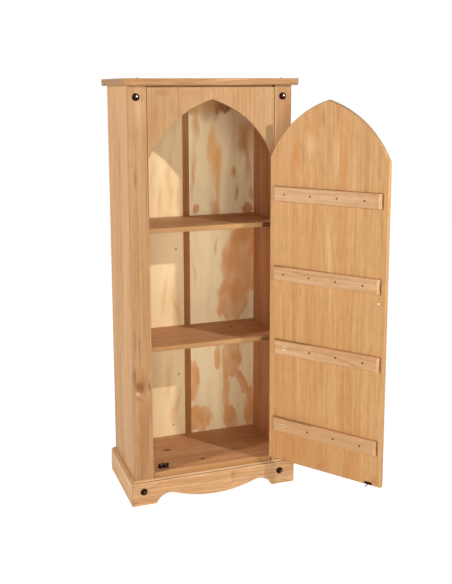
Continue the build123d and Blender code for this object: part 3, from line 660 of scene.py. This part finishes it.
class CABINET_OT_plinth(bpy.types.Operator):
    """Finish the moulded plinth"""
    bl_idname = "cabinet.plinth"
    bl_label = "Plinth"

    def execute(self, context):
        wood = context.scene.cabinet_wood
        groove_z = 71.6        # a line of painted shade in the groove between the plinth's two upper beads
        corner = ((-264, PLINTH_FRONT_Y, 36), (1.5, 4, 60))
        finish(pine(
            "waxed pine, plinth front", "level front", (-30, -340), 14.2,
            (wood.front_light, wood.front_dark, wood.case_warm), tilt=(0.0, 2.0), rings=5.0,
            figure=1.1, wander=22.0, tone=0.4, streaky=1.3, stains=stains_on(
                PLINTH_FRONT_Y, 20,
                (-150, 62, 80, 4, "#A8783F", 0.7, 2), (-185, 66, 24, 7, "#DE9F74", 0.7),
                (-135, 46, 22, 7, "#DE9F74", 0.7, -6), (-60, 58, 70, 3, "#A8783F", 0.7, -3),
                (-20, 44, 60, 3, "#A8723C", 0.6, -4), (40, 52, 70, 3, "#A8723C", 0.6, -5),
                (90, 64, 60, 4, "#D9A878", 0.6, -2), (150, 54, 50, 3, "#A06A38", 0.5),
                # The pale lines at 74.6 and 68.4 mm are painted highlights along the plinth's two upper beads.
                (0, 74.6, 900, 1.5, "#F6DDB4", 0.8), (0, 68.4, 900, 1.5, "#F3D6A6", 0.6)),
            joints=[((0, -280, groove_z), (900, 14, 1.15)), corner]), "plinth_front")
        finish(pine("waxed pine, plinth sides", "level side", (-20, 330), 15.5,
                    (wood.plinth_light, wood.plinth_dark, wood.case_warm),
                    joints=[((x, -130, groove_z), (14, 900, 1.1)) for x in (-260, 260)]),
               "plinth_left", "plinth_right")
        finish(pine("planed pine, plinth blocks", "upright front", (500, 300), 16.1,
                    (wood.case_light, wood.case_dark, wood.case_warm)), "plinth_blocks")
        return {"FINISHED"}


class CABINET_OT_back(bpy.types.Operator):
    """Finish the two plywood panels and the strip between them, and pin them on"""
    bl_idname = "cabinet.back"
    bl_label = "Back"

    def execute(self, context):
        wood = context.scene.cabinet_wood
        yellow, streak = "#E2BD86", "#DDB074"
        finish(plywood(
            "lacquered pine plywood, left", wood.ply_yellow, 3.3, stains_on(
                PLY_FRONT_Y, 30,
                (-185, 1080, 22, 90, yellow, 0.5), (-110, 990, 30, 150, yellow, 0.45, 10),
                (-40, 1120, 20, 110, yellow, 0.5), (-150, 640, 30, 120, yellow, 0.45, -6),
                (-60, 560, 34, 110, yellow, 0.5, 12), (-110, 300, 40, 130, yellow, 0.45),
                (-45, 180, 24, 90, yellow, 0.5, -8), (-54, 960, 15, 170, streak, 0.62),
                (-88, 890, 13, 90, streak, 0.62), (-27, 890, 11, 80, streak, 0.62),
                (-80, 575, 14, 110, streak, 0.62, 9), (-38, 540, 13, 100, streak, 0.62, -8),
                (-72, 290, 16, 100, streak, 0.62, 8), (-40, 195, 17, 90, streak, 0.62, 10)),
            [((-36, PLY_FRONT_Y, 725), (3, 9, 3.5)), ((-31, PLY_FRONT_Y, 301), (3.2, 9, 3)),
             ((-52, PLY_FRONT_Y, 127), (2.6, 9, 3))]), "back_panel_left")
        # High up the knife ran along the rings, so the figure there has no hard rims. The broad brown over the top
        # right and the patch under the upper shelf are painted shade, and the dark brown along the top is partly
        # figure and partly painted shade.
        soft_figure_and_shade = stains_on(
            PLY_FRONT_Y, 40,
            (190, 1110, 110, 150, "#C08A52", 0.6), (110, 1190, 100, 70, "#9A4E1E", 0.85),
            (137, 1170, 42, 26, "#8C4212", 0.85, 0, 0.5), (24, 1176, 30, 40, "#B0602A", 0.8, 0, 0.9),
            (36, 1118, 20, 78, "#E39C50", 0.75, 0, 0.9), (96, 1040, 32, 138, "#EDAC5F", 0.8, 0, 0.8),
            (108, 985, 27, 86, "#EDAC5F", 0.7, 0, 0.9), (108, 915, 17, 84, "#EDAC5F", 0.75, 0, 0.9),
            (101, 850, 24, 44, "#DB8E48", 0.75, 0, 0.8), (205, 1078, 36, 92, "#C07A3C", 0.75, 0, 0.8),
            (218, 1000, 18, 90, "#CB8740", 0.6, 0, 0.9), (158, 962, 12, 34, "#CF843C", 0.75, 0, 0.7),
            (174, 894, 11, 30, "#CF843C", 0.65, 0, 0.7), (37, 845, 17, 15, "#D88840", 0.75, 0, 0.5),
            (213, 848, 23, 19, "#C47834", 0.85, 0, 0.5), (60, 1195, 150, 62, "#F0B870", 0.5),
            (196, 752, 50, 44, "#BC7038", 0.6), (95, 735, 9, 52, "#DCA668", 0.65, 0, 0.8),
            (20, 650, 8, 60, "#DFAE74", 0.5), (228, 895, 8, 44, "#CF8C44", 0.6, 0, 0.8),
            (26, 975, 16, 84, "#DF9A4C", 0.6))
        tongues = (
            (200, 680, 82, 138, 12, 1.0), (160, 545, 62, 92, 0, 0.9), (103, 350, 14, 56, 0, 0.9),
            (158, 352, 34, 104, 0, 0.95), (140, 205, 13, 118, -2, 0.9), (152, 122, 30, 56, 0, 0.9),
            (203, 232, 14, 86, -34, 0.95), (226, 150, 18, 92, 0, 0.95), (16, 272, 29, 72, 0, 0.95),
            (42, 126, 42, 56, -12, 0.95))
        finish(plywood("lacquered pine plywood, right", wood.ply_pale, 8.1, soft_figure_and_shade,
                       tongue=wood.ply_tongue, tongues=tongues), "back_panel_right")
        finish(pine("stained hardwood, back strip", "upright front", (260, 90), 20.0,
                    (wood.strip, "#85522B", "#925E33"), rings=4.5, figure=0.4, shine=0.5,
                    stains=stains_on(low_mm("back_muntin", Y), 20,
                                     (0, 1160, 30, 180, "#BE9068", 0.6))), "back_muntin")

        # Round-headed pins along the edges and beside the strip, driven in from the back.
        radius = context.scene.cabinet_fittings.back_pin * 1000
        make_piece("back_pins", "case", "black_iron",
                   iron("blued steel, back pins", "#2A2420", 0.35),
                   (round_head(radius, 0.8), [facing_back(x, PLY_BACK_Y, z) for x, z in BACK_PINS]))
        return {"FINISHED"}


# ---------------------------------------------------------------- door
class CABINET_OT_door(bpy.types.Operator):
    """Finish the door's boards and battens"""
    bl_idname = "cabinet.door"
    bl_label = "Door"

    def execute(self, context):
        wood = context.scene.cabinet_wood
        colours = wood.door_light, wood.door_dark, wood.door_warm
        orange, brown, pale = "#CC8142", "#AF7540", "#DFB684"
        stains = (
            (101, 1047, 18, 74, orange, 0.8), (118, 1000, 13, 90, orange, 0.55),
            (60, 150, 220, 150, "#B07038", 0.4), (80, 1048, 6, 42, brown, 0.6, 16),
            (56, 1078, 26, 60, pale, 0.6), (64, 1130, 18, 36, orange, 0.4, 30),
            (14, 1152, 9, 46, brown, 0.85, 4), (-6, 1090, 7, 110, brown, 0.5, 3),
            (-30, 1040, 18, 120, pale, 0.6), (-55, 1015, 12, 120, orange, 0.8),
            (-62, 1130, 12, 40, orange, 0.4, -8), (-84, 960, 10, 60, pale, 0.4),
            (-27, 750, 3.5, 130, brown, 0.75, 7), (8, 800, 5, 120, brown, 0.45, 3),
            (-8, 780, 14, 160, pale, 0.45, 4), (92, 820, 6, 90, orange, 0.35),
            (-120, 560, 10, 110, brown, 0.3), (30, 360, 9, 120, brown, 0.35, 2),
            (12, 300, 8, 130, pale, 0.35), (-60, 330, 10, 140, brown, 0.3),
            (8, 112, 18, 14, "#A65F3A", 0.6, 20), (131, 98, 34, 9, "#A5663C", 0.6),
            (-172, 112, 16, 24, "#B0683C", 0.6))
        # A dark line of painted shade is laid round each batten.
        half = BATTEN_LENGTH / 2
        batten_shade_lines = [((DOOR_HALF - start - half, DOOR_BACK_Y, z + half * tan(radians(tilt))), tilt)
                    for start, z, tilt in BATTENS]
        plank_width = DOOR_HALF / 2
        for number, heart, tilt, seed in (
                (1, (-420, -160), (0.0, 0.0), 21.0), (2, (-40, -330), (0.55, 0.0), 22.0),
                (3, (20, -345), (-0.6, 0.2), 23.0), (4, (360, -190), (0.0, 0.0), 24.0)):
            left = -DOOR_HALF + (number - 1) * plank_width
            own = [row for row in stains if left - row[2] < row[0] < left + plank_width + row[2]]
            knots = [((80, DOOR_BACK_Y, 1050), (13, 30, 30), 0.0, 0.1)] if number == 3 else []
            finish(pine(
                f"waxed pine, door plank {number}", "upright front", heart, seed, colours,
                tilt=tilt, figure=0.45, knots=knots, stains=stains_on(DOOR_BACK_Y, 30, *own),
                on_door=True, batten_shade_lines=batten_shade_lines, streaky=0.7), f"door_plank_{number}")

        for number, (start, z, _) in enumerate(BATTENS, 1):
            hinged_end = DOOR_HALF - start
            # A dark patch of painted shade lies where the free end meets the door.
            stains = stains_on(DOOR_BACK_Y, 8, (
                hinged_end - BATTEN_LENGTH, z, 6, 30, "#5A3618", 1.0, 0, 0.5))
            if number < 3:
                # Bare wood round the first screw.
                stains += stains_on(BATTEN_FACE_Y, 20, (
                    hinged_end - FIRST_SCREW, z, 7.5, 7.5, "#FBEBD0", 1.0, 0, 0.4))
            if number == 1:
                stains += stains_on(BATTEN_FACE_Y, 40, (0, z, 400, 60, "#B07C48", 0.4))
            finish(pine(
                f"waxed pine, batten {number}", "level front", (200 * number, -330 - 7 * number),
                30 + number, (wood.batten_light, wood.batten_dark, wood.door_warm), figure=0.75,
                tone=0.25, stains=stains, on_door=True, end_grain=0.0), f"door_batten_{number}")
        return {"FINISHED"}


# ---------------------------------------------------------------- fittings
class CABINET_OT_fittings(bpy.types.Operator):
    """Finish the studs, the pull, the hinges and the roller catch"""
    bl_idname = "cabinet.fittings"
    bl_label = "Metalwork"

    def execute(self, context):
        fittings = context.scene.cabinet_fittings
        # The studs stand 6 mm proud of the frame and of the plinth.
        # Each stud's crown gets a bright spot of bare metal, a painted highlight.
        crown_highlights = [((x, FRONT_Y - 6, 1218.2), 4.6) for x in (-224.3, 222.8)]
        crown_highlights += [((x, PLINTH_FRONT_Y - 6, 44.2), 1.6) for x in (-226.6, 215.6)]
        hammered = iron("hammered iron, black lacquer", fittings.iron_colour, 0.28, 0.25, crown_highlights)
        finishes = {
            "black_iron": iron("pressed iron, black lacquer", fittings.iron_colour, 0.4),
            "bright_steel": steel("plated steel, stamped", fittings.steel_colour, 0.34),
            "black_nylon": nylon("black nylon, moulded", fittings.nylon_colour),
        }
        for node in frame["record"]["subparts"]:
            name, slot = node["node"], node["material_slot"]
            if name.endswith("studs") or name in ("handle_ring", "handle_rosette"):
                finish(hammered, name)
            elif slot in finishes:
                finish(finishes[slot], name)
        return {"FINISHED"}


# ---------------------------------------------------------------- screws
def disc(bm, radius, segments):
    """Draw a disc on the XY plane, and give the edges of its rim."""
    verts = bmesh.ops.create_circle(bm, cap_ends=True, segments=segments, radius=radius)["verts"]
    return list({edge for vert in verts for edge in vert.link_edges})


def extruded(bm, edges):
    """Extrude a loop of edges, and give the vertices and the edges of the new loop."""
    geometry = bmesh.ops.extrude_edge_only(bm, edges=edges)["geom"]
    verts = [part for part in geometry if isinstance(part, bmesh.types.BMVert)]
    return verts, [part for part in geometry if isinstance(part, bmesh.types.BMEdge)
                   and all(vert in verts for vert in part.verts)]


def cross_head(radius, rise, edge):
    """Draws a screw head that stands on the XY plane: a low dome with a cross recess."""
    def draw(bm):
        rim, rim_edges = extruded(bm, disc(bm, radius, 24))
        bmesh.ops.translate(bm, vec=(0, 0, edge), verts=rim)
        crown, crown_edges = extruded(bm, rim_edges)
        bmesh.ops.scale(bm, vec=(0.72, 0.72, 1), verts=crown)
        bmesh.ops.translate(bm, vec=(0, 0, (rise - edge) * 0.8), verts=crown)
        half, reach = 0.13 * radius, 0.52 * radius
        corners = [(half, half), (half, reach), (-half, reach), (-half, half), (-reach, half),
                   (-reach, -half), (-half, -half), (-half, -reach), (half, -reach),
                   (half, -half), (reach, -half), (reach, half)]
        cross = [bm.verts.new((x, y, rise)) for x, y in corners]
        cross_edges = [bm.edges.new(pair) for pair in zip(cross, cross[1:] + cross[:1])]
        bmesh.ops.bridge_loops(bm, edges=crown_edges + cross_edges)
        foot, foot_edges = extruded(bm, cross_edges)
        bmesh.ops.translate(bm, vec=(0, 0, min(0.08, 0.3 * rise) - rise), verts=foot)
        bmesh.ops.scale(bm, vec=(0.8, 0.8, 1), verts=foot)
        bmesh.ops.contextual_create(bm, geom=foot_edges)
    return draw


def round_head(radius, rise):
    """Draws a smooth domed head that stands on the XY plane, in rings that close on a flat cap."""
    rings = 4

    def draw(bm):
        edges = disc(bm, radius, 20)
        for i in range(rings):
            now, then = (pi / 2 * k / (rings + 0.4) for k in (i, i + 1))
            loop, edges = extruded(bm, edges)
            shrink = cos(then) / cos(now)
            bmesh.ops.scale(bm, vec=(shrink, shrink, 1), verts=loop)
            bmesh.ops.translate(bm, vec=(0, 0, rise * (sin(then) - sin(now))), verts=loop)
        bmesh.ops.contextual_create(bm, geom=edges)
    return draw


def facing_back(x, y, z):
    """Places a shape drawn on the XY plane so that it looks towards the back."""
    return Matrix.Translation((x, y, z)) @ Matrix.Rotation(-pi / 2, 4, "X")


class CABINET_OT_screws(bpy.types.Operator):
    """Put in the screws of the battens, the top board, the hinges, the strike and the catch"""
    bl_idname = "cabinet.screws"
    bl_label = "Screws"

    def execute(self, context):
        fittings = context.scene.cabinet_fittings
        count = fittings.batten_screws
        places = []
        for start, z, tilt in BATTENS:
            for i in range(count):
                along = FIRST_SCREW + i * SCREW_RUN / max(count - 1, 1)
                places.append(opened() @ facing_back(
                    DOOR_HALF - start - along, BATTEN_FACE_Y, z + along * tan(radians(tilt))))
        make_piece("batten_screws", "door", "black_iron",
                   steel("browned steel, screw heads", "#6A4E38", 0.45),
                   (cross_head(fittings.batten_screw * 1000, 0.5, 0.12), places))

        dark = iron("browned iron, screws", "#241812", 0.4)
        make_piece("top_screws", "case", "black_iron", dark,
                   (cross_head(fittings.top_screw * 1000, 1.6, 0.4),
                    [Matrix.Translation((x, y, TOP_Z)) for x, y in TOP_SCREWS]))

        # Flush screws in the hinge leaves: the door's face the gap, the stile's the opening.
        flush = cross_head(fittings.hinge_screw * 1000, 0.1, 0.03)
        spots = [(y, z + step) for z in HINGE_Z for y, step in HINGE_SCREWS]
        quarter = Matrix.Rotation(pi / 2, 4, "Y")
        make_piece(
            "door_small_screws", "door", "black_iron", dark,
            (flush, [opened() @ Matrix.Translation((HINGE.x - LEAF_REACH, y, z)) @ quarter
                     for y, z in spots]),
            (cross_head(1.8, 0.4, 0.1), [
                opened() @ facing_back(CATCH_X + side, STRIKE_FACE_Y, 100.2)
                for side in (-8.3, 8.3)]))
        make_piece(
            "case_small_screws", "case", "black_iron", dark,
            (flush, [Matrix.Translation((HINGE.x + LEAF_REACH, y, z)) @ quarter.inverted()
                     for y, z in spots]))
        make_piece(
            "catch_rivets", "case", "bright_steel",
            steel("plated steel, rivets", fittings.steel_colour, 0.3),
            (round_head(1.7, 0.7), [Matrix.Translation((CATCH_X + side, -234.2, CATCH_TOP_Z))
                                    for side in (-7.5, 7.5)]))
        return {"FINISHED"}


# ---------------------------------------------------------------- stage
def add_lamp(name, place, target, power, size):
    """A round area lamp that faces its target. Places are in metres."""
    lamp = bpy.data.lights.new(name, "AREA")
    lamp.shape = "DISK"
    lamp.size = size
    lamp.energy = power
    holder = bpy.data.objects.new(name, lamp)
    bpy.context.scene.collection.objects.link(holder)
    holder.location = place
    holder.rotation_euler = (Vector(target) - Vector(place)).to_track_quat("-Z", "Y").to_euler()


def seen(tree):
    """One for what the camera sees, straight on, in a mirror or through glass."""
    rays = add(tree, "LightPath").outputs
    direct = add(tree, "Math", (rays["Is Camera Ray"], rays["Is Glossy Ray"]),
                 operation="MAXIMUM")
    return add(tree, "Math", (direct, rays["Is Transmission Ray"]), operation="MAXIMUM")


class CABINET_OT_stage(bpy.types.Operator):
    """Lay the floor, hang the lamps and set up the camera"""
    bl_idname = "cabinet.stage"
    bl_label = "Stage"

    def execute(self, context):
        scene = context.scene
        settings = scene.cabinet_stage
        bm = bmesh.new()
        bmesh.ops.create_grid(bm, x_segments=1, y_segments=1, size=6.0)
        mesh = bpy.data.meshes.new("studio_floor")
        bm.to_mesh(mesh)
        bm.free()
        floor = bpy.data.objects.new("studio_floor", mesh)
        scene.collection.objects.link(floor)
        mesh.materials.append(self.floor_paint(settings.floor))

        # Each lamp's place, the height that it faces and its width, in metres.
        for name, place, height, size in (
                ("key", (1.18, -1.69, 1.79), 0.75, 0.04),
                ("front", (0.663, -3.218, 0.979), 0.65, 1.0),
                ("side", (-2.6, -0.86, 1.55), 0.65, 0.2),
                ("left", (-1.036, -3.109, 1.034), 0.65, 1.0)):
            add_lamp(f"{name}_lamp", place, (0.0, -0.1, height), getattr(settings, name), size)
        self.light_room(scene, settings.sky)
        self.place_camera(scene)
        scene.view_settings.view_transform = "Standard"
        return {"FINISHED"}

    def floor_paint(self, colour):
        """Matt white paint on board. The eye sees it white with only a breath of shadow."""
        material, tree = new_material("matt paint, studio floor")
        place = cabinet_mm(tree)
        speck = add(tree, "TexNoise", {"Vector": place, "Scale": 1 / 50})
        plain = add(tree, "BsdfDiffuse", [shaded(tree, colour, speck, 0, 1, 0.97, 1.0)])
        # Farther from the lamps the paint would grey, so its glow makes up for it.
        away = add(tree, "VectorMath", [place], operation="LENGTH")
        bright = add(tree, "AddShader", (
            add(tree, "BsdfDiffuse", ["#9E9E9E"]),
            add(tree, "Emission", {
                "Color": "#FFFFFF",
                "Strength": add(tree, "MapRange", (away, 500, 2500, 0.93, 1.0))})))
        add(tree, "OutputMaterial", [add(tree, "MixShader", (seen(tree), plain, bright))])
        return material

    def light_room(self, scene, strength):
        """Light from all round, and white behind the cabinet."""
        scene.world = bpy.data.worlds.new("white_room")
        scene.world.use_nodes = True
        tree = scene.world.node_tree
        tree.nodes.clear()
        room = add(tree, "Background", ("#FFFFFF", strength))
        white = add(tree, "Background", ("#FFFFFF", 1.0))
        add(tree, "OutputWorld", [add(tree, "MixShader", (seen(tree), room, white))])

    def place_camera(self, scene):
        """A camera at standing height, a little to the left of the cabinet."""
        place = (-0.81925, -2.64199, 1.23911)
        yaw, dip, roll = radians(19.0833), radians(9.5674), radians(-0.2834)
        data = bpy.data.cameras.new("camera")
        data.sensor_width = 36.0
        data.lens = 53.018
        data.shift_x = 0.02181
        data.shift_y = -0.10040
        data.clip_end = 50.0
        camera = bpy.data.objects.new("camera", data)
        scene.collection.objects.link(camera)
        ahead = Vector((sin(yaw) * cos(dip), cos(yaw) * cos(dip), -sin(dip)))
        across = Vector((cos(yaw), -sin(yaw), 0))
        up = across.cross(ahead)
        right = across * cos(roll) + up * sin(roll)
        above = up * cos(roll) - across * sin(roll)
        turn = Matrix((right, above, -ahead)).transposed()
        camera.matrix_world = Matrix.Translation(place) @ turn.to_4x4()
        scene.camera = camera


# ---------------------------------------------------------------- panel
OPERATORS = (CABINET_OT_case, CABINET_OT_shelves, CABINET_OT_plinth, CABINET_OT_back,
             CABINET_OT_door, CABINET_OT_fittings, CABINET_OT_screws, CABINET_OT_stage)


class CABINET_PT_panel(bpy.types.Panel):
    """Lists the cabinet's pieces and their settings"""
    bl_idname = "CABINET_PT_panel"
    bl_label = "Arched pine cabinet"
    bl_space_type = "VIEW_3D"
    bl_region_type = "UI"
    bl_category = "Cabinet"

    def draw(self, context):
        for operator in OPERATORS:
            self.layout.operator(operator.bl_idname)
        for group in (context.scene.cabinet_wood, context.scene.cabinet_fittings,
                      context.scene.cabinet_stage):
            box = self.layout.box()
            for name in group.bl_rna.properties.keys():
                if name not in ("rna_type", "name"):
                    box.prop(group, name)


CLASSES = (WoodSettings, FittingSettings, StageSettings, *OPERATORS, CABINET_PT_panel)


def register():
    for cls in CLASSES:
        bpy.utils.register_class(cls)
    bpy.types.Scene.cabinet_wood = PointerProperty(type=WoodSettings)
    bpy.types.Scene.cabinet_fittings = PointerProperty(type=FittingSettings)
    bpy.types.Scene.cabinet_stage = PointerProperty(type=StageSettings)


def unregister():
    del bpy.types.Scene.cabinet_stage
    del bpy.types.Scene.cabinet_fittings
    del bpy.types.Scene.cabinet_wood
    for cls in reversed(CLASSES):
        bpy.utils.unregister_class(cls)


def main():
    register()
    for operator in OPERATORS:
        group, name = operator.bl_idname.split(".")
        getattr(getattr(bpy.ops, group), name)()


if __name__ == "__main__":
    main()
